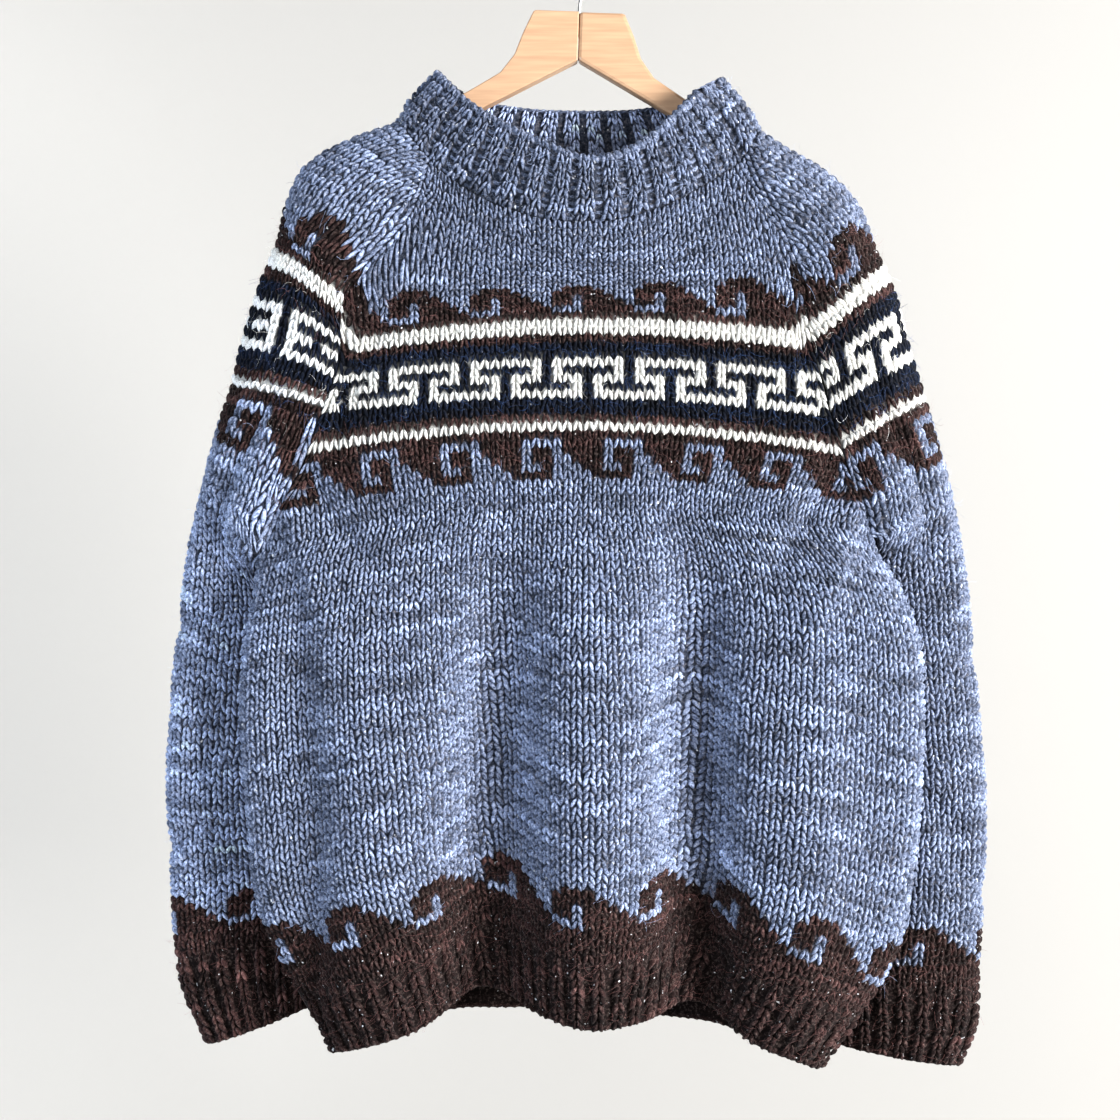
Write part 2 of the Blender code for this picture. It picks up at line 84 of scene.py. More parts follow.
middle = sizeTable("row frontY frontZ backY backZ", [
    (0, -36, -193, 26, -186),
    (7, -41, -238, 28, -228),
    (13, -44, -277, 29, -268),
    (20, -48, -321, 29, -313),
    (29, -52, -377, 29, -371),
    (39, -57, -440, 28, -435),
    (49, -62, -497, 27, -499),
    (63, -66, -577, 25, -589),
    (79, -69, -668, 23, -692),
    (98, -69, -776, 21, -794),
    (110, -63, -853, 17, -868),
])
foldNames = "firstRow fullRow topX hemX width forward lift".split()
folds = {
    "front": [
        (34, 84, -64, -82, 31, -27, 19),
        (34, 80, 86, 92, 29, -29, 16),
        (38, 90, 8, 6, 34, 9, -7),
        (38, 86, -150, -160, 34, 7, 0),
        (38, 86, 176, 174, 32, 8, 3),
        (46, 76, -232, -214, 17, -6, 0),
    ],
    "back": [
        (40, 90, -96, -104, 34, 11, 9),
        (46, 94, 12, 4, 38, 8, 7),
        (40, 88, 112, 108, 32, 12, 8),
    ],
}
sleeveOuter = sizeTable("row leftX leftZ rightX rightZ y halfDepth", [
    (0, -147, -151, 142, -158, 0, 24),
    (4, -179, -162, 168, -174.4, 0, 27),
    (8, -210, -177, 193, -188.7, 0, 29),
    (11, -227, -193, 212, -205, 0, 30),
    (13, -235, -210, 222, -218, 1, 31),
    (18, -244, -244, 236, -252, 2, 31.5),
    (20, -249, -257, 242, -265, 2, 31.5),
    (24, -262, -289, 253, -292, 3, 30.5),
    (29, -274, -329, 264, -333, 4, 29),
    (33, -282, -360, 275, -367, 6, 27),
    (39, -296, -403, 289, -413, 8, 25),
    (43, -304, -434, 298, -446, 9, 22),
    (48, -312, -468, 305, -480, 10, 20),
    (57, -322, -524, 313, -537, 10, 21),
    (65, -328, -572, 318, -587, 9, 22),
    (73, -332, -621, 322, -638, 8, 22.5),
    (81, -335, -671, 326, -688, 8, 22.5),
    (89, -334, -720, 326, -739, 8, 22),
    (97, -331, -769, 324, -789, 8, 21.5),
    (103, -330, -806, 321, -827, 9, 21),
    (107, -326, -832, 320, -854, 10, 20),
    (111, -318, -861, 317, -882, 11, 19),
    (116, -302, -895, 305, -912, 12, 18),
])
sleeveInner = sizeTable("row leftX leftZ rightX rightZ y", [
    (43, -252, -497, 227, -484, -28),
    (45, -262, -508, 237, -496, -6),
    (48, -256, -526, 232, -513, 5),
    (52, -240, -548, 217, -538, 10),
    (57, -225, -570, 202, -572, 12),
    (65, -214, -609, 192, -621, 14),
    (73, -206, -648, 187, -670, 15),
    (81, -202, -686, 185, -715, 15),
    (89, -201, -723, 187, -756, 16),
    (97, -203, -752, 190, -797, 16),
    (103, -206, -778, 193, -829, 16),
    (116, -215, -862, 205, -895, 16),
])
collarRim = sizeTable("row x y z", [
    (0, 89, -24, -131),
    (1.4, 71, -33, -151),
    (3.2, 45, -39, -174),
    (6, 2, -42, -186),
    (8, -29, -40, -174),
    (10.4, -65, -35, -156),
    (12, -90, -26, -138),
    (14, -114, -4, -110),
    (16, -91, 19, -123),
    (18, -51, 27, -130),
    (20, -1, 29, -132),
    (22, 48, 27, -131),
    (24, 89, 19, -124),
    (26, 110, -4, -116),
    (28, 89, -24, -131),
])


def smoothAt(sheet, column, at):
    knots, values = sheet["row"], sheet[column]
    slopes = np.gradient(values, knots)
    at = np.clip(np.asarray(at, float), knots[0], knots[-1])
    low = np.clip(np.searchsorted(knots, at, side="right") - 1, 0, len(knots) - 2)
    span = knots[low + 1] - knots[low]
    t = (at - knots[low]) / span
    ends = values[low] * (1 + 2 * t) * (1 - t) ** 2 + values[low + 1] * (3 - 2 * t) * t**2
    return ends + span * t * (1 - t) * (slopes[low] * (1 - t) - slopes[low + 1] * t)


def ease(value, start, end):
    t = np.clip((np.asarray(value, float) - start) / (end - start), 0, 1)
    return t * t * (3 - 2 * t)


def arcOf(line):
    return np.concatenate([[0], np.cumsum(np.linalg.norm(np.diff(line, axis=0), axis=1))])


def bodyLine(side, row):  # one row of the front or back, and where its middle lies
    across = -np.cos(np.linspace(0, np.pi, 241))
    rows = np.full_like(across, row)
    if side == "front":
        rows = rows + neckScoop * (1 - ease(row, 0, 20)) * (1 - across**2)
    share = (across + 1) / 2
    leftX, rightX = smoothAt(edges, "leftX", row), smoothAt(edges, "rightX", row)
    rise = smoothAt(edges, "backRise", row) if side == "back" else 0
    leftZ, rightZ = smoothAt(edges, "leftZ", rows) + rise, smoothAt(edges, "rightZ", rows) + rise
    x = leftX + (rightX - leftX) * share
    z = leftZ + (rightZ - leftZ) * share
    z = z + (smoothAt(middle, side + "Z", rows) - (leftZ + rightZ) / 2) * (1 - across**2)
    wrapped = ease(row, 37, 50)
    flat = 1 - across**2
    tube = (1 - np.abs(across) ** 2.6) ** 0.46 if side == "front" else flat**0.8
    profile = (1 - wrapped) * flat + wrapped * tube
    edgeY = smoothAt(edges, side + "Y", row)
    y = edgeY + (smoothAt(middle, side + "Y", rows) - edgeY) * profile
    for values in folds[side]:
        fold = dict(zip(foldNames, values))
        down = ease(row, fold["firstRow"], hemEnd)
        centre = (fold["topX"] + (fold["hemX"] - fold["topX"]) * down) * mm
        bump = ease(row, fold["firstRow"], fold["fullRow"])
        bump = bump * np.exp(-(((x - centre) / (fold["width"] * mm)) ** 2)) * flat**0.3
        y = y - fold["forward"] * mm * bump
        z = z + fold["lift"] * mm * bump
    line = np.stack([x, y, z], axis=1)
    if side == "front":
        line = line[::-1]
    arc = arcOf(line)
    order = np.argsort(line[:, 0])
    return line, np.interp(0, line[order, 0], arc[order])


def sleeveLine(side, row):  # one row of a sleeve, and where its outer line lies
    outer = np.array([smoothAt(sleeveOuter, side + "X", row), smoothAt(sleeveOuter, side + "Z", row)])
    outerY = smoothAt(sleeveOuter, "y", row)
    depth = smoothAt(sleeveOuter, "halfDepth", row)
    if row <= armpitRow:
        front = np.array([smoothAt(edges, side + "X", row), smoothAt(edges, side + "Z", row)])
        back = front + np.array([0, smoothAt(edges, "backRise", row)])
        frontY, backY = smoothAt(edges, "frontY", row), smoothAt(edges, "backY", row)
    else:
        front = np.array([smoothAt(sleeveInner, side + "X", row), smoothAt(sleeveInner, side + "Z", row)])
        back = front
        frontY = backY = smoothAt(sleeveInner, "y", row)
    innerY, gap = (frontY + backY) / 2, (backY - frontY) / 2
    start = -math.acos(min(1, gap / depth))
    turn = np.linspace(start, math.pi / 2, 121)
    reach = (np.sin(turn) - math.sin(start)) / (1 - math.sin(start))
    halves = []
    for foot, sign in ((front, -1), (back, 1)):
        flat = foot + (outer - foot) * reach[:, None]
        y = innerY + (outerY - innerY) * reach + sign * depth * np.cos(turn)
        halves.append(np.stack([flat[:, 0], y, flat[:, 1]], axis=1))
    line = np.concatenate([halves[0], halves[1][-2::-1]])
    if side == "right":
        line = line[::-1]
    return line, arcOf(line)[120]


def collarLine(row, rows):  # the collar's rows run from its rim down to the neck edge
    neck = [
        bodyLine("front", 0)[0], sleeveLine("left", 0)[0],
        bodyLine("back", 0)[0], sleeveLine("right", 0)[0],
    ]
    neckRibs = [12, 4, 8, 4]  # the rim's rows count along these
    base, top = [], []
    start = 0
    for line, ribs in zip(neck, neckRibs):
        arc = arcOf(line)
        at = np.linspace(0, 1, ribs * 10 + 1)[:-1]
        base.append(np.stack([np.interp(at * arc[-1], arc, line[:, k]) for k in range(3)], axis=1))
        ribAt = start + at * ribs
        top.append(np.stack([smoothAt(collarRim, axis, ribAt) for axis in "xyz"], axis=1))
        start += ribs
    base, top = np.concatenate(base), np.concatenate(top)
    share = np.clip(row / rows, 0, 1)
    line = top + (base - top) * share
    out = line - base.mean(axis=0)
    out[:, 2] = 0
    out /= np.linalg.norm(out, axis=1)[:, None]
    line = line + out * 3 * mm * math.sin(math.pi * share)
    return np.concatenate([line, line[:1]]), 0.0


def unit(vectors):
    return vectors / np.maximum(np.linalg.norm(vectors, axis=-1, keepdims=True), 1e-12)


def makeForm(lineAt, firstRow, lastRow, creases=(), closed=False, segments=240, step=0.5):
    rows = np.arange(firstRow, lastRow + step / 2, step)
    points, lengths, anchors = [], [], []
    for row in rows:
        line, anchor = lineAt(row)
        arc = arcOf(line)
        at = np.linspace(0, arc[-1], segments + 1)
        points.append(np.stack([np.interp(at, arc, line[:, k]) for k in range(3)], axis=1))
        lengths.append(arc[-1])
        anchors.append(anchor)
    points, lengths, anchors = np.array(points), np.array(lengths), np.array(anchors)
    form = {"rows": rows, "step": step, "segments": segments, "points": points,
            "lengths": lengths, "anchors": anchors, "closed": closed}
    form["normals"] = formNormals(form)
    if len(creases):
        offset = np.zeros(points.shape[:2])
        along = np.linspace(0, 1, segments + 1)[None, :] * lengths[:, None] - anchors[:, None]
        for crease in creases:
            offset += creaseDepth(crease, along, rows[:, None])
        points += form["normals"] * offset[:, :, None]
        form["normals"] = formNormals(form)
    return form


def formNormals(form):
    run, fall = np.gradient(form["points"], axis=1), np.gradient(form["points"], axis=0)
    if form["closed"]:
        run[:, 0] = run[:, -1] = form["points"][:, 1] - form["points"][:, -2]
    return unit(np.cross(run, fall))


def creaseDepth(crease, along, row):  # a soft trough or ridge between two places on the cloth
    startRow, startAlong, endRow, endAlong, width, depth = crease
    start = np.array([startAlong * mm, startRow * rowTall * mm])
    way = np.array([endAlong * mm, endRow * rowTall * mm]) - start
    length = np.linalg.norm(way)
    way /= length
    dx, dy = along - start[0], row * rowTall * mm - start[1]
    t = (dx * way[0] + dy * way[1]) / length
    off = dx * way[1] - dy * way[0]
    fade = ease(t, -0.15, 0.25) * (1 - ease(t, 0.75, 1.15))
    return depth * mm * fade * np.exp(-((off / (width * mm)) ** 2))


def onForm(form, row, along, height):
    rows, segments = form["rows"], form["segments"]
    r = np.clip((row - rows[0]) / form["step"], 0, len(rows) - 1.001)
    low = r.astype(int)
    t = (r - low)[..., None]
    length = np.interp(row, rows, form["lengths"])
    c = np.clip(along / length, 0, 0.99999) * segments
    left = c.astype(int)
    s = (c - left)[..., None]
    found = []
    for grid in (form["points"], form["normals"]):
        top = grid[low, left] * (1 - s) + grid[low, left + 1] * s
        bottom = grid[low + 1, left] * (1 - s) + grid[low + 1, left + 1] * s
        found.append(top * (1 - t) + bottom * t)
    return found[0] + unit(found[1]) * height[..., None]


# Creases: start row, start along, end row, end along from the middle (mm), width, depth
creases = {
    "front": [
        (42, 60, 118, 66, 38, -11),
        (40, -88, 118, -94, 38, -11),
        (40, 184, 118, 194, 42, 8),
        (44, -4, 118, 0, 28, 4),
        (44, -190, 118, -198, 34, 4),
        (50, 224, 112, 236, 14, -5),
        (30, 238, 52, 150, 11, -4.5),
        (33, 244, 60, 190, 9, 3.0),
        (32, -214, 54, -140, 11, -4.5),
        (36, -222, 62, -175, 9, 3.0),
        (14, 150, 36, 205, 8, -2.5),
        (16, -165, 38, -200, 8, -2.0),
    ],
    "back": [
        (32, 225, 54, 140, 11, -4.5),
        (32, -235, 54, -150, 11, -4.5),
        (12, 60, 30, 20, 14, -2.5),
        (14, -110, 40, -130, 12, -2.0),
    ],
    "left": [
        (30, -60, 50, -40, 9, -4.0),
        (36, -30, 56, -10, 9, 3.0),
        (52, -90, 64, 10, 9, -4.0),
        (60, 100, 74, 0, 9, -3.5),
        (70, -80, 84, -20, 10, -3.0),
        (86, -60, 94, 30, 9, -3.0),
        (96, 80, 104, 0, 8, -2.5),
    ],
    "right": [
        (28, 60, 48, 42, 9, -4.0),
        (37, 30, 57, 12, 9, 3.0),
        (54, 85, 66, -10, 9, -4.0),
        (64, -90, 76, 0, 9, -3.0),
        (74, 90, 88, 20, 10, -3.5),
        (88, 50, 98, -30, 9, -3.0),
    ],
}
forms = {
    "front": makeForm(lambda row: bodyLine("front", row), 0, hemEnd, creases["front"]),
    "back": makeForm(lambda row: bodyLine("back", row), 0, hemEnd, creases["back"]),
    "left": makeForm(lambda row: sleeveLine("left", row), 0, cuffEnd, creases["left"]),
    "right": makeForm(lambda row: sleeveLine("right", row), 0, cuffEnd, creases["right"]),
    "collar": makeForm(lambda row: collarLine(row, collarRows), 0, collarRows, closed=True, step=0.25),
}
print("forms drawn")


# How wide the stitches lie along each row, before and after the form's middle line

gauge = {
    "yoke": 8 * mm, "sleeve": 9 * mm,
    "front": (32, 34), "back": (34, 32),  # stitches before and after the middle, below the armpit
    "cuff": (17, 17),
}


def setStitchWidths(form, key, lengths, count):
    rows = form["rows"]
    below = lengths / count
    atArmpit = int(np.argmin(np.abs(rows - armpitRow)))
    yoke = gauge["yoke"] + (below[atArmpit] - gauge["yoke"]) * ease(rows, 32, armpitRow)
    form[key] = np.where(rows >= armpitRow, below, yoke)


for name in ("front", "back"):
    form = forms[name]
    setStitchWidths(form, "before", form["anchors"], gauge[name][0])
    setStitchWidths(form, "after", form["lengths"] - form["anchors"], gauge[name][1])
for name in ("left", "right"):
    form = forms[name]
    form["before"] = np.full(len(form["rows"]), gauge["sleeve"])
    form["after"] = np.full(len(form["rows"]), gauge["sleeve"])


def rowMeasures(form, row, keys=("lengths", "anchors", "before", "after")):
    return [np.interp(row, form["rows"], form[key]) for key in keys]


# Stitch shapes in stitch widths across, rows down and millimetres out

legShape = {
    "topAcross": 0.08, "footAcross": 0.43, "length": 1.62, "halfWidth": 0.225, "base": -0.2, "crest": 4.3,
}
barShape = {"halfLength": 0.56, "halfTall": 0.34, "base": -0.4, "crest": 2.0}


def meshArrays(mesh):
    bmesh.ops.remove_doubles(mesh, verts=mesh.verts[:], dist=1e-4)
    mesh.verts.index_update()
    verts = np.array([vert.co[:] for vert in mesh.verts])
    faces = [[vert.index for vert in face.verts] for face in mesh.faces]
    mesh.free()
    return verts, faces


def shapedLeg(side, shape):
    mesh = bmesh.new()
    bmesh.ops.create_grid(mesh, x_segments=3, y_segments=4, size=1)
    for vert in mesh.verts:
        t = (vert.co.y + 1) / 2
        angle = vert.co.x * math.pi / 2
        fullness = math.sin(math.pi * t**0.88) ** 0.85 if 0 < t < 1 else 0
        across = side * (shape["topAcross"] + (shape["footAcross"] - shape["topAcross"]) * t)
        across += shape["halfWidth"] * fullness * math.sin(angle)
        height = shape["crest"] * fullness * max(0, math.cos(angle)) ** 0.8 * (1.1 - 0.4 * t)
        vert.co = (across, shape["length"] * (t - 0.5), shape["base"] + height)
    return meshArrays(mesh)


def shapedBar(shape):
    mesh = bmesh.new()
    bmesh.ops.create_grid(mesh, x_segments=4, y_segments=3, size=1)
    for vert in mesh.verts:
        t = (vert.co.x + 1) / 2
        angle = vert.co.y * math.pi / 2
        fullness = math.sin(math.pi * t) ** 0.6 if 0 < t < 1 else 0
        height = shape["base"] + shape["crest"] * fullness * max(0, math.cos(angle)) ** 0.8
        sag = 0.16 * math.cos(math.pi * (t - 0.5))
        down = shape["halfTall"] * fullness * math.sin(angle) + sag
        vert.co = (shape["halfLength"] * vert.co.x, down, height)
    return meshArrays(mesh)


def joined(parts):
    verts, faces, start = [], [], 0
    for partVerts, partFaces in parts:
        verts.append(partVerts)
        faces += [[start + index for index in face] for face in partFaces]
        start += len(partVerts)
    return np.concatenate(verts), faces


knitStitch = joined([shapedLeg(-1, legShape), shapedLeg(1, legShape)])
purlStitch = shapedBar(barShape)


# The pattern, charted: b blue, n navy, d brown, w white

charts = {
    "upper": ["bdddbbbb", "dddddbbb", "ddbdddbb", "ddbddddb", "bbbddddd"],
    "meander": ["wwwwwwwn", "wnnnnnwn", "wwwnwwwn", "nnwnwnnn", "wwwnwwww"],
    "boxes": ["wwwwwwwn", "wnnnnnwn", "wwwnwwwn", "wnnnnnwn", "wwwwwwwn"],
    "lower": ["bddddbbb", "bddddbdd", "bbdddbdd", "bbbddbbd", "bbbbdddd"],
}
yarns = {  # colour, how much it is flecked, how much the stitches vary
    "b": ((0.205, 0.245, 0.355), 1.0, 0.26),
    "n": ((0.004, 0.007, 0.016), 0.25, 0.35),
    "d": ((0.030, 0.0155, 0.0145), 0.75, 0.45),
    "w": ((0.84, 0.83, 0.79), 0.06, 0.05),
}
chartShift = {  # stitches that the upper wave and the rest are moved along by
    "front": (2, 2), "back": (2, 2), "left": (3, 1), "right": (6, 0),
}
chartDrop = {"right": 1}  # rows that the whole yoke pattern lies lower by


def yarnAt(name, row, wale):
    border = (cuffRow if name in ("left", "right") else hemRow) - 5
    if row < 60:
        row -= chartDrop.get(name, 0)
    waveShift, shift = chartShift[name]
    column = (shift - wale) % 8
    if 13 <= row < 18:
        return charts["upper"][row - 13][(waveShift - wale) % 8]
    if 24 <= row < 29:
        return charts["boxes" if name == "left" else "meander"][row - 24][column]
    if 34 <= row < 39:
        return charts["lower"][row - 34][column]
    if border <= row < border + 5:
        return charts["upper"][row - border][column]
    if row >= border + 5 or row in (18, 21, 31, 33):
        return "d"
    if row in (19, 20, 32):
        return "w"
    if 22 <= row < 31:
        return "n"
    return "b"


# The wool: flecks paler and darker than each yarn, pale neps and fine fibres

heather = {
    "fleckSize": 420, "paler": (1.7, 1.65, 1.5), "whiter": (0.14, 0.115, 0.105), "palerShare": 0.6,
    "darker": (0.11, 0.13, 0.17), "darkerShare": 0.8, "nepSize": 300, "nep": (0.75, 0.77, 0.8, 1),
    "fibreSize": 1300, "fibreShade": (0.5, 1.4),
}
woolFinish = {"roughness": 0.92, "specular": 0.12, "sheen": 0.05, "sheenRoughness": 0.6, "bump": 0.8}


def addNode(tree, kind, at, **settings):
    node = tree.nodes.new(kind)
    node.location = at
    for key, value in settings.items():
        setattr(node, key, value)
    return node


def addNoise(tree, at, place, scale, detail=2.0, roughness=0.5):
    noise = addNode(tree, "ShaderNodeTexNoise", at)
    noise.inputs["Scale"].default_value = scale
    noise.inputs["Detail"].default_value = detail
    noise.inputs["Roughness"].default_value = roughness
    tree.links.new(place, noise.inputs["Vector"])
    return noise.outputs["Fac"]


def addRange(tree, at, value, source, target):
    node = addNode(tree, "ShaderNodeMapRange", at)
    node.inputs["From Min"].default_value, node.inputs["From Max"].default_value = source
    node.inputs["To Min"].default_value, node.inputs["To Max"].default_value = target
    tree.links.new(value, node.inputs["Value"])
    return node.outputs["Result"]


def addProduct(tree, at, first, second):
    node = addNode(tree, "ShaderNodeMath", at, operation="MULTIPLY")
    tree.links.new(first, node.inputs[0])
    tree.links.new(second, node.inputs[1])
    return node.outputs[0]


def addMix(tree, at, share, first, second):
    node = addNode(tree, "ShaderNodeMix", at, data_type="RGBA")
    tree.links.new(share, node.inputs["Factor"])
    tree.links.new(first, node.inputs["A"])
    if isinstance(second, tuple):
        node.inputs["B"].default_value = second
    else:
        tree.links.new(second, node.inputs["B"])
    return node.outputs["Result"]


def makeYarnGroup():
    group = bpy.data.node_groups.new("woolYarn", "ShaderNodeTree")
    for socket, way, kind in (
        ("Yarn", "INPUT", "NodeSocketColor"), ("Fleck", "INPUT", "NodeSocketFloat"),
        ("Color", "OUTPUT", "NodeSocketColor"), ("Relief", "OUTPUT", "NodeSocketFloat"),
    ):
        group.interface.new_socket(socket, in_out=way, socket_type=kind)
    inputs = addNode(group, "NodeGroupInput", (-900, 0)).outputs
    outputs = addNode(group, "NodeGroupOutput", (900, 0)).inputs
    place = addNode(group, "ShaderNodeTexCoord", (-900, -300)).outputs["Object"]

    paler = addNode(group, "ShaderNodeVectorMath", (-150, 250), operation="MULTIPLY_ADD")
    paler.inputs[1].default_value = heather["paler"]
    paler.inputs[2].default_value = heather["whiter"]
    darker = addNode(group, "ShaderNodeVectorMath", (100, -350), operation="MULTIPLY")
    darker.inputs[1].default_value = heather["darker"]
    for node in (paler, darker):
        group.links.new(inputs["Yarn"], node.inputs[0])

    noise = addNoise(group, (-650, -200), place, heather["fleckSize"], 3.0, 0.65)
    light = addRange(group, (-400, 50), noise, (0.52, 0.68), (0, heather["palerShare"]))
    light = addProduct(group, (-150, 50), light, inputs["Fleck"])
    colour = addMix(group, (100, 100), light, inputs["Yarn"], paler.outputs["Vector"])
    dark = addRange(group, (-400, -250), noise, (0.51, 0.36), (0, heather["darkerShare"]))
    dark = addProduct(group, (-150, -250), dark, inputs["Fleck"])
    colour = addMix(group, (350, 100), dark, colour, darker.outputs["Vector"])
    nep = addNoise(group, (-650, 400), place, heather["nepSize"], 1.0)
    nep = addRange(group, (-400, 400), nep, (0.73, 0.78), (0, 1))
    nep = addProduct(group, (-150, 400), nep, inputs["Fleck"])
    colour = addMix(group, (520, 150), nep, colour, heather["nep"])

    fibre = addNoise(group, (-650, -500), place, heather["fibreSize"])
    strand = addRange(group, (300, -500), fibre, (0.3, 0.7), heather["fibreShade"])
    stranded = addNode(group, "ShaderNodeVectorMath", (700, 100), operation="SCALE")
    group.links.new(colour, stranded.inputs[0])
    group.links.new(strand, stranded.inputs["Scale"])
    group.links.new(stranded.outputs["Vector"], outputs["Color"])
    group.links.new(fibre, outputs["Relief"])
    return group


def newMaterial(name):
    material = bpy.data.materials.new(name)
    material.use_nodes = True
    return material, material.node_tree, material.node_tree.nodes["Principled BSDF"].inputs


def woolMaterial():
    material, tree, shader = newMaterial("stitchWool")
    shader["Roughness"].default_value = woolFinish["roughness"]
    shader["Specular IOR Level"].default_value = woolFinish["specular"]
    shader["Sheen Weight"].default_value = woolFinish["sheen"]
    shader["Sheen Roughness"].default_value = woolFinish["sheenRoughness"]
    wool = addNode(tree, "ShaderNodeGroup", (-500, 100), node_tree=makeYarnGroup())
    yarn = addNode(tree, "ShaderNodeAttribute", (-800, 200), attribute_name="yarn")
    fleck = addNode(tree, "ShaderNodeAttribute", (-800, 0), attribute_name="fleck")
    bump = addNode(tree, "ShaderNodeBump", (-250, -250))
    bump.inputs["Strength"].default_value = woolFinish["bump"]
    bump.inputs["Distance"].default_value = 1 * mm
    tree.links.new(yarn.outputs["Color"], wool.inputs["Yarn"])
    tree.links.new(fleck.outputs["Fac"], wool.inputs["Fleck"])
    tree.links.new(wool.outputs["Relief"], bump.inputs["Height"])
    tree.links.new(bump.outputs["Normal"], shader["Normal"])
    tree.links.new(wool.outputs["Color"], shader["Base Color"])
    return material


stitchWool = woolMaterial()


# Laying stitches on the forms

def layStockinette(name, firstRow, lastRow):  # knit stitches of whole rows, cut off at the edges
    form = forms[name]
    found = []
    for row in range(firstRow, lastRow):
        length, anchor, before, after = rowMeasures(form, row + 0.5)
        first, last = -int(anchor / before - 0.5), int((length - anchor) / after - 0.5) - 1
        for wale in range(first, last + 1):
            place, width = wale + 0.5, 1.0
            if wale == first:  # the last ones before the edge wales are as wide as the room left
                width += anchor / before - 1 + first
                place -= (width - 1) / 2
            if wale == last:
                width += (length - anchor) / after - 2 - last
                place += (width - 1) / 2
            found.append((row, place, 0, yarnAt(name, row, wale), width))
        found.append((row, 0, 1, yarnAt(name, row, first - 1), 1.0))
        found.append((row, 0, 2, yarnAt(name, row, last + 1), 1.0))
    return found


# Rows that a sleeve, and the front's own edge, are drawn up by at each front seam
seamRise = {"left": 5.6, "right": 2.2}
frontRise = {"left": 5.6, "right": 2.0}


def risenRow(name, form, row, along):
    length, anchor = rowMeasures(form, row, ("lengths", "anchors"))
    if name in seamRise:
        left = name == "left"
        fromSeam, frontHalf = (along, anchor) if left else (length - along, length - anchor)
        beside = np.clip(1 - fromSeam / (0.85 * frontHalf), 0, 1)
        return row - seamRise[name] * beside * np.interp(row, [0, 18, 34, 52], [0, 1, 0.8, 0])
    if name == "front":
        reach = np.interp(row, [13, 20], [34, 11]) * mm
        share = np.interp(row, [3, 13, 20, 24], [0, 1, 1, 0])
        rise = frontRise["right"] * np.clip(1 - along / reach, 0, 1)
        rise = rise + frontRise["left"] * np.clip(1 - (length - along) / reach, 0, 1)
        return row - rise * share
    return row


def alongAt(form, row, offset, mode):  # mode 1 is the first wale of a row, 2 the last
    if form["closed"]:
        return np.clip(offset, 0, None) / form["count"] * np.interp(row, form["rows"], form["lengths"])
    length, anchor, before, after = rowMeasures(form, row)
    free = anchor + offset * np.where(offset < 0, before, after)
    free = np.clip(free, 0.75 * before, length - 0.75 * after)
    last = length - (0.5 - offset) * after
    return np.where(mode == 1, (offset + 0.5) * before, np.where(mode == 2, last, free))


def addPiece(name, points, faces, colours, flecks):
    mesh = bpy.data.meshes.new(name)
    counts = np.array([len(face) for face in faces])
    mesh.vertices.add(len(points))
    mesh.vertices.foreach_set("co", points.astype(np.float32).ravel())
    mesh.loops.add(int(counts.sum()))
    mesh.loops.foreach_set("vertex_index", np.concatenate(faces).astype(np.int32))
    mesh.polygons.add(len(faces))
    starts = np.concatenate([[0], np.cumsum(counts)[:-1]])
    mesh.polygons.foreach_set("loop_start", starts.astype(np.int32))
    mesh.update(calc_edges=True)
    yarn = mesh.attributes.new("yarn", "FLOAT_COLOR", "POINT")
    solid = np.concatenate([colours, np.ones((len(points), 1))], axis=1)
    yarn.data.foreach_set("color", solid.astype(np.float32).ravel())
    fleck = mesh.attributes.new("fleck", "FLOAT", "POINT")
    fleck.data.foreach_set("value", flecks.astype(np.float32))
    mesh.shade_smooth()
    mesh.materials.append(stitchWool)
    piece = bpy.data.objects.new(name, mesh)
    bpy.context.scene.collection.objects.link(piece)
    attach(piece, "root")
    return piece


yarnDrift = random.normal(size=(130, 40))  # how the tone of the yarn drifts along each row
paintedLightByRow = {  # painted light and shade: how much lighter or darker each form's stitches are coloured at rows 0, 12, 40 and 60; the left sleeve, turned from the key lamp, is painted lighter, the yokes and the right sleeve darker
    "front": (0.82, 0.86, 0.98, 1.12), "back": (0.82, 0.86, 0.98, 1.12),
    "left": (0.95, 1.1, 1.5, 1.9), "right": (0.8, 0.85, 0.9, 0.95),
    "collar": (0.85, 0.85, 0.85, 0.85),
}
insidePaintedLight = 2.3  # painted light: the collar's inner face is coloured lighter, since little lamp light reaches it
paintedShadeBetweenStitches = {"b": 0.6, "n": 0.6, "d": 0.6, "w": 0.0}  # painted shade: how much darker the stitches are coloured low down between them
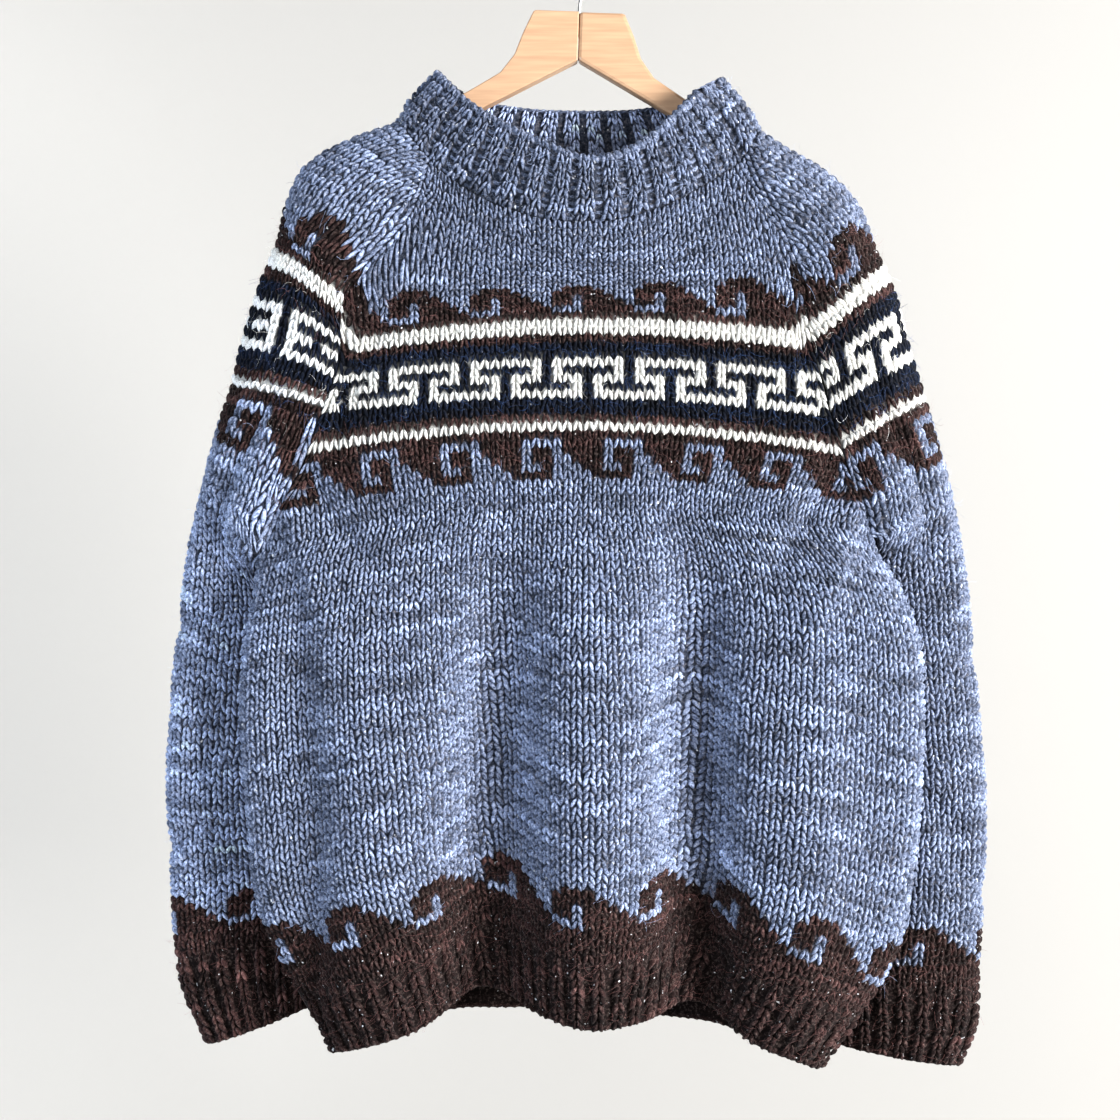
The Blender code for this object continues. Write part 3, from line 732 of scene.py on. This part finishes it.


def knitPiece(name, formName, stitch, row, offset, mode, keys,
              widths=1.0, lift=0.0, inside=False, tall=1.0, rough=1.1):
    verts, faces = stitch
    form = forms[formName]
    row, offset, mode = (np.asarray(values, float) for values in (row, offset, mode))
    count = len(row)
    widths, lift, tall = (np.broadcast_to(np.asarray(v, float), (count,)) for v in (widths, lift, tall))
    swell = 1 + random.normal(0, 0.07 * rough, count)
    nudge = random.normal(0, rough, (count, 2)) * [0.04, 0.07]
    lean = random.normal(0, 0.05 * rough, count)
    across = verts[None, :, 0] * (widths * swell)[:, None] + nudge[:, :1]
    across = across + lean[:, None] * verts[None, :, 1]
    down = verts[None, :, 1] * tall[:, None] + nudge[:, 1:]
    vertRow = row[:, None] + 0.5 + down
    along = alongAt(form, vertRow, offset[:, None] + across, mode[:, None])
    height = (verts[None, :, 2] * swell[:, None] + lift[:, None]) * mm
    if inside:
        height = -height
    points = onForm(form, risenRow(formName, form, vertRow, along), along, height)
    base = np.array([yarns[key][0] for key in keys])
    flecked = np.array([yarns[key][1] for key in keys])
    vary = np.array([yarns[key][2] for key in keys])
    # painted shade: each stitch is coloured darker towards its low edges, where it tucks under its
    # neighbours
    depth = np.clip((verts[:, 2] - verts[:, 2].min()) / (0.7 * np.ptp(verts[:, 2])), 0, 1)
    paintedCreviceShade = 1 - np.array([paintedShadeBetweenStitches[key] for key in keys])[:, None] * (1 - depth)
    rowTone = 1 + 0.16 * np.sin(row * 2.1 + 0.4 * np.sin(row)) * np.sin(row * 0.77 + 1.3)
    wale = np.clip((offset + 60) / 3.5, 0, 38)
    low = wale.astype(int)
    yarnRow = np.clip(row, 0, 129).astype(int)
    run = yarnDrift[yarnRow, low] * (1 - wale + low) + yarnDrift[yarnRow, low + 1] * (wale - low)
    tone = np.exp((random.normal(0, 0.6, count) + 0.9 * run) * vary)
    tone *= np.where(np.array(list(keys)) == "b", rowTone, 1)
    # painted light and shade by form and row, and painted light on the collar's inner face
    tone *= np.interp(row, [0, 12, 40, 60], paintedLightByRow[formName]) * (insidePaintedLight if inside else 1)
    colours = np.clip((base * tone[:, None])[:, None, :] * paintedCreviceShade[:, :, None], 0, 1)
    starts = np.arange(count)[:, None] * len(verts)
    laid = []
    for face in faces:
        laid.extend(starts + np.array(face[::-1] if inside else face))
    return addPiece(name, points.reshape(-1, 3), laid, colours.reshape(-1, 3),
                    np.repeat(flecked, len(verts)))


# The cloth under the stitches: a thin shell on each form, with the wall's inner face

shell = {"thickness": 3.0, "outer": 0.9}  # mm, and how far its outer face stands off the form
paintedShellShade = {"b": 0.22, "n": 0.4, "d": 0.4, "w": 0.5}  # painted shade: the cloth is coloured darker than its yarn, for the shade down between stitches


def keysOn(formName, row, along):  # the yarn at places on a form
    form = forms[formName]
    if form["closed"]:
        return np.full(row.size, "b")
    length, anchor, before, after = rowMeasures(form, row)
    offset = along - anchor
    wale = np.floor(offset / np.where(offset < 0, before, after)).astype(int)
    return np.array([yarnAt(formName, int(r), int(w)) for r, w in zip(row.ravel(), wale.ravel())])


def addShell(name, formName, firstRow, lastRow, columns):
    form = forms[formName]
    rowRange, shares = np.arange(firstRow, lastRow + 1), np.linspace(0, 1, columns + 1)
    row, share = np.meshgrid(rowRange, shares, indexing="ij")
    along = share * np.interp(row, form["rows"], form["lengths"])
    height = np.full(row.shape, (shell["outer"] - shell["thickness"] / 2) * mm)
    points = onForm(form, risenRow(formName, form, row, along), along, height).reshape(-1, 3)
    mesh = bmesh.new()
    bmesh.ops.create_grid(mesh, x_segments=columns, y_segments=lastRow - firstRow, size=1)
    yarn = mesh.verts.layers.float_color.new("yarn")
    fleck = mesh.verts.layers.float.new("fleck")
    for vert, point, key in zip(mesh.verts, points, keysOn(formName, row, along)):
        vert.co = point
        # painted shade: the cloth takes its yarn's colour, darkened
        vert[yarn] = (*(np.array(yarns[key][0]) * paintedShellShade[key]), 1)
        vert[fleck] = yarns[key][1]
    bmesh.ops.reverse_faces(mesh, faces=mesh.faces[:])
    bmesh.ops.remove_doubles(mesh, verts=mesh.verts[:], dist=0.2 * mm)
    data = bpy.data.meshes.new(name)
    mesh.to_mesh(data)
    mesh.free()
    data.shade_smooth()
    data.materials.append(stitchWool)
    piece = bpy.data.objects.new(name, data)
    bpy.context.scene.collection.objects.link(piece)
    wall = piece.modifiers.new("cloth thickness", "SOLIDIFY")
    wall.thickness = shell["thickness"] * mm
    wall.offset = 0
    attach(piece, "root")
    return piece


blueSlot, brownSlot = "blue_wool", "brown_wool"
for side in ("front", "back"):
    addShell(side + "Cloth", side, 0, hemRow, 110)
    addShell(side + "HemCloth", side, hemRow, hemEnd, 110)
for side in ("left", "right"):
    addShell(side + "SleeveCloth", side, 0, cuffRow, 56)
    addShell(side + "CuffCloth", side, cuffRow, cuffEnd, 56)
addShell("collarCloth", "collar", 0, collarRows, 120)
print("cloth laid")

knitted = {}
for name, firstRow, lastRow, label in (
    ("front", 0, 46, "frontYokeStitches"), ("front", 46, hemRow, "frontStitches"),
    ("back", 0, 46, "backYokeStitches"), ("back", 46, hemRow, "backStitches"),
    ("left", 0, cuffRow, "leftSleeveStitches"), ("right", 0, cuffRow, "rightSleeveStitches"),
):
    row, offset, mode, keys, width = zip(*layStockinette(name, firstRow, lastRow))
    thinRow = 32 + chartDrop.get(name, 0) if name in seamRise else None  # the sleeves' fine white line
    tall = [0.62 if item == thinRow else 1 for item in row]
    knitted.setdefault(name, []).append(knitPiece(
        label, name, knitStitch, row, offset, mode, keys, widths=width, tall=tall))
    print(label, len(row), "stitches")


def layRib(name, firstRow, ribRow, lastRow):  # plain rows, then ridges of knit and hollows of purl
    form = forms[name]
    knits, purls = [], []
    for row in range(firstRow, lastRow):
        length, anchor, before, after = rowMeasures(form, row + 0.5)
        low, high = -int(round(anchor / before)), int(round((length - anchor) / after))
        for wale in range(low, high):
            ridge = wale % 2 == 0
            place = anchor + (wale + 0.5) * (before if wale < 0 else after)
            if place < 0.3 * before or place > length - 0.3 * after:
                continue
            if row < ribRow or ridge:
                rise = ease(row, ribRow - 1, ribRow + 2)
                width = 1 + (0.26 if ridge else -0.1) * rise
                knits.append((row, wale + 0.5, width, 2.1 * rise if ridge else 0))
            else:
                purls.append((row, wale + 0.5))
    return knits, purls


for name in ("left", "right"):  # cuffs: the same number of ribs all the way down
    form = forms[name]
    cuff = form["rows"] >= cuffRow
    form["before"] = np.where(cuff, form["anchors"] / gauge["cuff"][0], form["before"])
    afterWidth = (form["lengths"] - form["anchors"]) / gauge["cuff"][1]
    form["after"] = np.where(cuff, afterWidth, form["after"])
for name, firstRow, ribRow, lastRow, label in (
    ("front", hemRow, 102, hemEnd, "frontHem"), ("back", hemRow, 102, hemEnd, "backHem"),
    ("left", cuffRow, 106, cuffEnd, "leftCuff"), ("right", cuffRow, 106, cuffEnd, "rightCuff"),
):
    knits, purls = layRib(name, firstRow, ribRow, lastRow)
    row, offset, width, lift = zip(*knits)
    knitted.setdefault(label, []).append(knitPiece(
        label + "Stitches", name, knitStitch, row, offset, np.zeros(len(row)), "d" * len(row),
        widths=width, lift=lift, rough=1.5))
    row, offset = zip(*purls)
    knitted[label].append(knitPiece(
        label + "Purls", name, purlStitch, row, offset, np.zeros(len(row)), "d" * len(row),
        lift=-0.8, rough=1.5))
    print(label, len(knits) + len(purls), "stitches")

collarStitches = 96  # ribs of two knit stitches and a purl
forms["collar"]["count"] = collarStitches
rows, columns = np.meshgrid(np.arange(collarRows), np.arange(collarStitches), indexing="ij")
rows, columns = rows.ravel(), columns.ravel()
ridge = columns % 3 != 2
knitted["collar"] = []
for where in ("Outer", "Inner"):
    for label, stitch, kept, lift, width in (
        ("Stitches", knitStitch, ridge, 1.4, 1.1), ("Purls", purlStitch, ~ridge, 0.1, 1.15),
    ):
        count = int(kept.sum())
        knitted["collar"].append(knitPiece(
            "collar" + where + label, "collar", stitch, rows[kept], columns[kept] + 0.5, np.zeros(count),
            "b" * count, widths=width, lift=lift, inside=where == "Inner", rough=1.8))
print("collar knitted")


# The rounded edges where the knitting begins and ends

edgeCord = {"sides": 8, "bump": 0.26, "tone": 0.8}


def addEdge(name, formName, row, stitches, thick, key, inward):
    form = forms[formName]
    rings, sides = stitches * 4, edgeCord["sides"]
    share = np.linspace(0, 1, rings + 1)
    length = float(np.interp(row, form["rows"], form["lengths"]))
    turn = np.linspace(0, 2 * math.pi, sides, endpoint=False)
    beat = 1 + edgeCord["bump"] * np.cos(share * stitches * 2 * math.pi) + random.normal(0, 0.03, rings + 1)
    beat[-1] = beat[0]
    radius = thick * beat[:, None]
    down = row + inward * thick / rowTall * 0.8 + radius * np.sin(turn) / rowTall
    along = np.broadcast_to(share[:, None] * length, down.shape)
    height = (radius * np.cos(turn) - 0.6) * mm
    line = onForm(form, np.full(down.shape, float(row)), along, height)
    fall = unit(onForm(form, np.full(down.shape, row + inward * 1.0), along, height) - line) * inward
    points = line + fall * ((down - row) * rowTall * mm)[..., None]
    ring = np.arange(rings)[:, None] * sides
    around = np.arange(sides)
    following = (around + 1) % sides
    beyond = ring + sides
    quads = np.stack([ring + around, ring + following, beyond + following, beyond + around], axis=-1)
    if inward < 0:
        quads = quads[..., ::-1]
    colour = np.array(yarns[key][0]) * edgeCord["tone"]
    tone = np.exp(np.repeat(random.normal(0, 0.12, rings + 1), sides))[:, None]
    flecks = np.full((rings + 1) * sides, yarns[key][1])
    return addPiece(name, points.reshape(-1, 3), list(quads.reshape(-1, 4)), colour * tone, flecks)


for label, formName, row, stitches, thick, key, slot, inward in (
    ("collar", "collar", 0, 84, 4.4, "b", blueSlot, 1),
    ("frontHem", "front", hemEnd, 60, 2.8, "d", brownSlot, -1),
    ("backHem", "back", hemEnd, 56, 2.8, "d", brownSlot, -1),
    ("leftCuff", "left", cuffEnd, 28, 2.8, "d", brownSlot, -1),
    ("rightCuff", "right", cuffEnd, 28, 2.8, "d", brownSlot, -1),
):
    knitted[label].append(addEdge(label + "Edge", formName, row, stitches, thick, key, inward))
print("edges bound")


# Loose fibres that stand off the wool

fuzz = {
    "tries": 26000, "onBlue": 0.4, "width": 0.11, "shortest": 4, "longest": 13, "height": 3.2, "rise": 2.4,
}
fuzzShare = {"front": 0.36, "back": 0.28, "left": 0.15, "right": 0.15, "collar": 0.06}
hairTone = {"b": 1.7, "n": 14.0, "d": 7.0, "w": 1.0}


def addFuzz(formName):
    form = forms[formName]
    lastRow = int(form["rows"][-1])
    row = random.uniform(0.5, lastRow - 0.5, int(fuzz["tries"] * fuzzShare[formName]))
    along = random.uniform(0.01, 0.99, len(row)) * np.interp(row, form["rows"], form["lengths"])
    keys = keysOn(formName, row, along)
    kept = (random.uniform(0, 1, len(row)) < fuzz["onBlue"]) | np.isin(keys, ["n", "d"])
    row, along, keys = row[kept], along[kept], keys[kept]
    count = len(row)
    angle = random.uniform(0, 2 * math.pi, count)
    size = random.uniform(fuzz["shortest"], fuzz["longest"], count) * mm
    bend = random.normal(0, 0.9, count)
    lift = random.uniform(0, 1, count) ** 3 * 2.5
    t = np.linspace(-0.5, 0.5, 4)
    turn = angle[:, None] + bend[:, None] * t
    side = np.array([-0.5, 0.5]) * fuzz["width"] * mm
    stepAlong = (size[:, None] * t * np.cos(turn))[..., None] - np.sin(turn)[..., None] * side
    stepDown = (size[:, None] * t * np.sin(turn))[..., None] + np.cos(turn)[..., None] * side
    vertRow = np.clip(row[:, None, None] + stepDown / (rowTall * mm), 0, lastRow)
    longest = np.interp(vertRow, form["rows"], form["lengths"])
    vertAlong = np.clip(along[:, None, None] + stepAlong, 0, longest)
    height = fuzz["height"] + fuzz["rise"] * (t + 0.5)[None, :, None] * (1 + lift[:, None, None])
    height = np.broadcast_to(height, vertRow.shape) * mm
    points = onForm(form, vertRow, vertAlong, height).reshape(-1, 3)
    strip = np.array([[0, 1, 3, 2], [2, 3, 5, 4], [4, 5, 7, 6]])
    faces = list((np.arange(count)[:, None, None] * 8 + strip).reshape(-1, 4))
    tone = np.array([hairTone[key] for key in keys]) * random.uniform(0.6, 1.4, count)
    colours = np.clip(np.array([yarns[key][0] for key in keys]) * tone[:, None], 0, 0.9)
    flecks = np.zeros(count * 8)
    return addPiece(formName + "Fuzz", points, faces, np.repeat(colours, 8, axis=0), flecks)


for name in fuzzShare:
    knitted[name].append(addFuzz(name))
print("fibres laid")

flatSizes = {  # the cut of what shows: width and length, and the area where it isn't a rectangle
    "front": ("body_front", (0.57, 0.60), 0.275),
    "back": ("body_back", (0.56, 0.63), 0.285),
    "left": ("sleeve_left", (0.31, 0.68), 0.150),
    "right": ("sleeve_right", (0.31, 0.68), 0.155),
    "frontHem": ("hem_rib", (0.53, 0.08), None),
    "backHem": ("hem_rib", (0.50, 0.08), None),
    "leftCuff": ("cuff_left", (0.28, 0.09), None),
    "rightCuff": ("cuff_right", (0.28, 0.09), None),
    "collar": ("collar", (0.64, 0.055), None),
}
for name, (node, flat, area) in flatSizes.items():
    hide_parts(node)


# The hanger

wood = {"pale": (0.5, 0.32, 0.195, 1), "dark": (0.4, 0.242, 0.145, 1), "coat": 0.25, "rough": (0.35, 0.55)}
steel = {"colour": (0.62, 0.62, 0.6, 1), "rough": (0.22, 0.42)}


def woodMaterial(name, turn):  # the grain runs along each arm
    material, tree, shader = newMaterial(name)
    shader["Coat Weight"].default_value = wood["coat"]
    shader["Coat Roughness"].default_value = 0.25
    place = addNode(tree, "ShaderNodeTexCoord", (-1200, 0))
    mapping = addNode(tree, "ShaderNodeMapping", (-1000, 0))
    mapping.inputs["Rotation"].default_value = (0, turn, 0)
    mapping.inputs["Scale"].default_value = (5, 90, 90)
    tree.links.new(place.outputs["Object"], mapping.inputs["Vector"])
    grain = addNoise(tree, (-800, 0), mapping.outputs["Vector"], 4.0, 6.0)
    ramp = addNode(tree, "ShaderNodeValToRGB", (-550, 0))
    for element, position, colour in zip(ramp.color_ramp.elements, (0.3, 0.7), (wood["dark"], wood["pale"])):
        element.position = position
        element.color = colour
    tree.links.new(grain, ramp.inputs["Fac"])
    tree.links.new(ramp.outputs["Color"], shader["Base Color"])
    rough = addRange(tree, (-550, -300), grain, (0, 1), wood["rough"])
    tree.links.new(rough, shader["Roughness"])
    return material


def steelMaterial():
    material, tree, shader = newMaterial("hookSteel")
    shader["Base Color"].default_value = steel["colour"]
    shader["Metallic"].default_value = 1.0
    place = addNode(tree, "ShaderNodeTexCoord", (-800, 0))
    brushed = addNoise(tree, (-600, 0), place.outputs["Object"], 700)
    tree.links.new(addRange(tree, (-350, 0), brushed, (0, 1), steel["rough"]), shader["Roughness"])
    return material


for node, material in (
    ("hanger_arm_left", woodMaterial("beechLeft", -0.5)),
    ("hanger_arm_right", woodMaterial("beechRight", 0.5)),
    ("hanger_hook", steelMaterial()),
):
    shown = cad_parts[node]
    shown.data.materials.clear()
    shown.data.materials.append(material)
print("hanger finished")


# The pale room, the light and the camera

room = {"wallY": 0.85, "floorZ": -1.75, "top": 2.2, "half": 4.0, "colour": (0.362, 0.351, 0.334, 1)}


def wallMaterial():  # clear from behind, so that a view of the sweater's back isn't shut off
    material, tree, shader = newMaterial("paleWall")
    shader["Base Color"].default_value = room["colour"]
    shader["Roughness"].default_value = 0.95
    side = addNode(tree, "ShaderNodeNewGeometry", (0, 300))
    clear = addNode(tree, "ShaderNodeBsdfTransparent", (0, -400))
    mix = addNode(tree, "ShaderNodeMixShader", (300, 100))
    tree.links.new(side.outputs["Backfacing"], mix.inputs[0])
    tree.links.new(tree.nodes["Principled BSDF"].outputs[0], mix.inputs[1])
    tree.links.new(clear.outputs[0], mix.inputs[2])
    tree.links.new(mix.outputs[0], tree.nodes["Material Output"].inputs["Surface"])
    return material


def addPlane(name, corners, material):
    mesh = bpy.data.meshes.new(name)
    mesh.from_pydata(corners, [], [[0, 1, 2, 3]])
    mesh.materials.append(material)
    plane = bpy.data.objects.new(name, mesh)
    bpy.context.scene.collection.objects.link(plane)


half, wallY, floorZ, top = room["half"], room["wallY"], room["floorZ"], room["top"]
paleWall = wallMaterial()
addPlane("wall", [
    (-half, wallY, floorZ), (half, wallY, floorZ), (half, wallY, top), (-half, wallY, top),
], paleWall)
addPlane("floor", [
    (-half, -half, floorZ), (half, -half, floorZ), (half, wallY, floorZ), (-half, wallY, floorZ),
], paleWall)


def addLight(name, place, aim, size, power, spread=180, colour=(1, 1, 1)):
    light = bpy.data.lights.new(name, "AREA")
    light.shape = "RECTANGLE"
    light.size, light.size_y = size
    light.energy = power
    light.spread = math.radians(spread)
    light.color = colour
    lamp = bpy.data.objects.new(name, light)
    lamp.location = place
    lamp.rotation_euler = (Vector(aim) - Vector(place)).to_track_quat("-Z", "Y").to_euler()
    bpy.context.scene.collection.objects.link(lamp)


addLight("rightSoftbox", (3.0, -2.0, -0.35), (0, -0.05, -0.5), (1.4, 1.4), 335)
addLight("leftSoftbox", (-2.4, -1.4, -0.55), (0, -0.05, -0.5), (1.2, 1.2), 42, colour=(0.7, 0.84, 1))
addLight("frontSoftbox", (-0.7, -2.6, 0.0), (0, 0, -0.45), (1.2, 1.2), 22)
addLight("wallWash", (-1.7, 0.45, -0.5), (-0.5, 0.88, -0.5), (0.3, 2.0), 6.5, spread=60)

world = bpy.data.worlds.new("room")
bpy.context.scene.world = world
world.use_nodes = True
world.node_tree.nodes["Background"].inputs["Color"].default_value = (0.95, 0.96, 1, 1)
world.node_tree.nodes["Background"].inputs["Strength"].default_value = 0.11

cameraData = bpy.data.cameras.new("camera")
cameraData.sensor_width = 36
cameraData.lens = 52.2
camera = bpy.data.objects.new("camera", cameraData)
camera.location = (-0.0176, -1.312, -0.5024)
camera.rotation_euler = (math.pi / 2, 0, 0)
bpy.context.scene.collection.objects.link(camera)
bpy.context.scene.camera = camera

view = bpy.context.scene.view_settings
view.view_transform = "Standard"
view.look = "Medium High Contrast"
view.exposure = 0.0

print("scene ready")
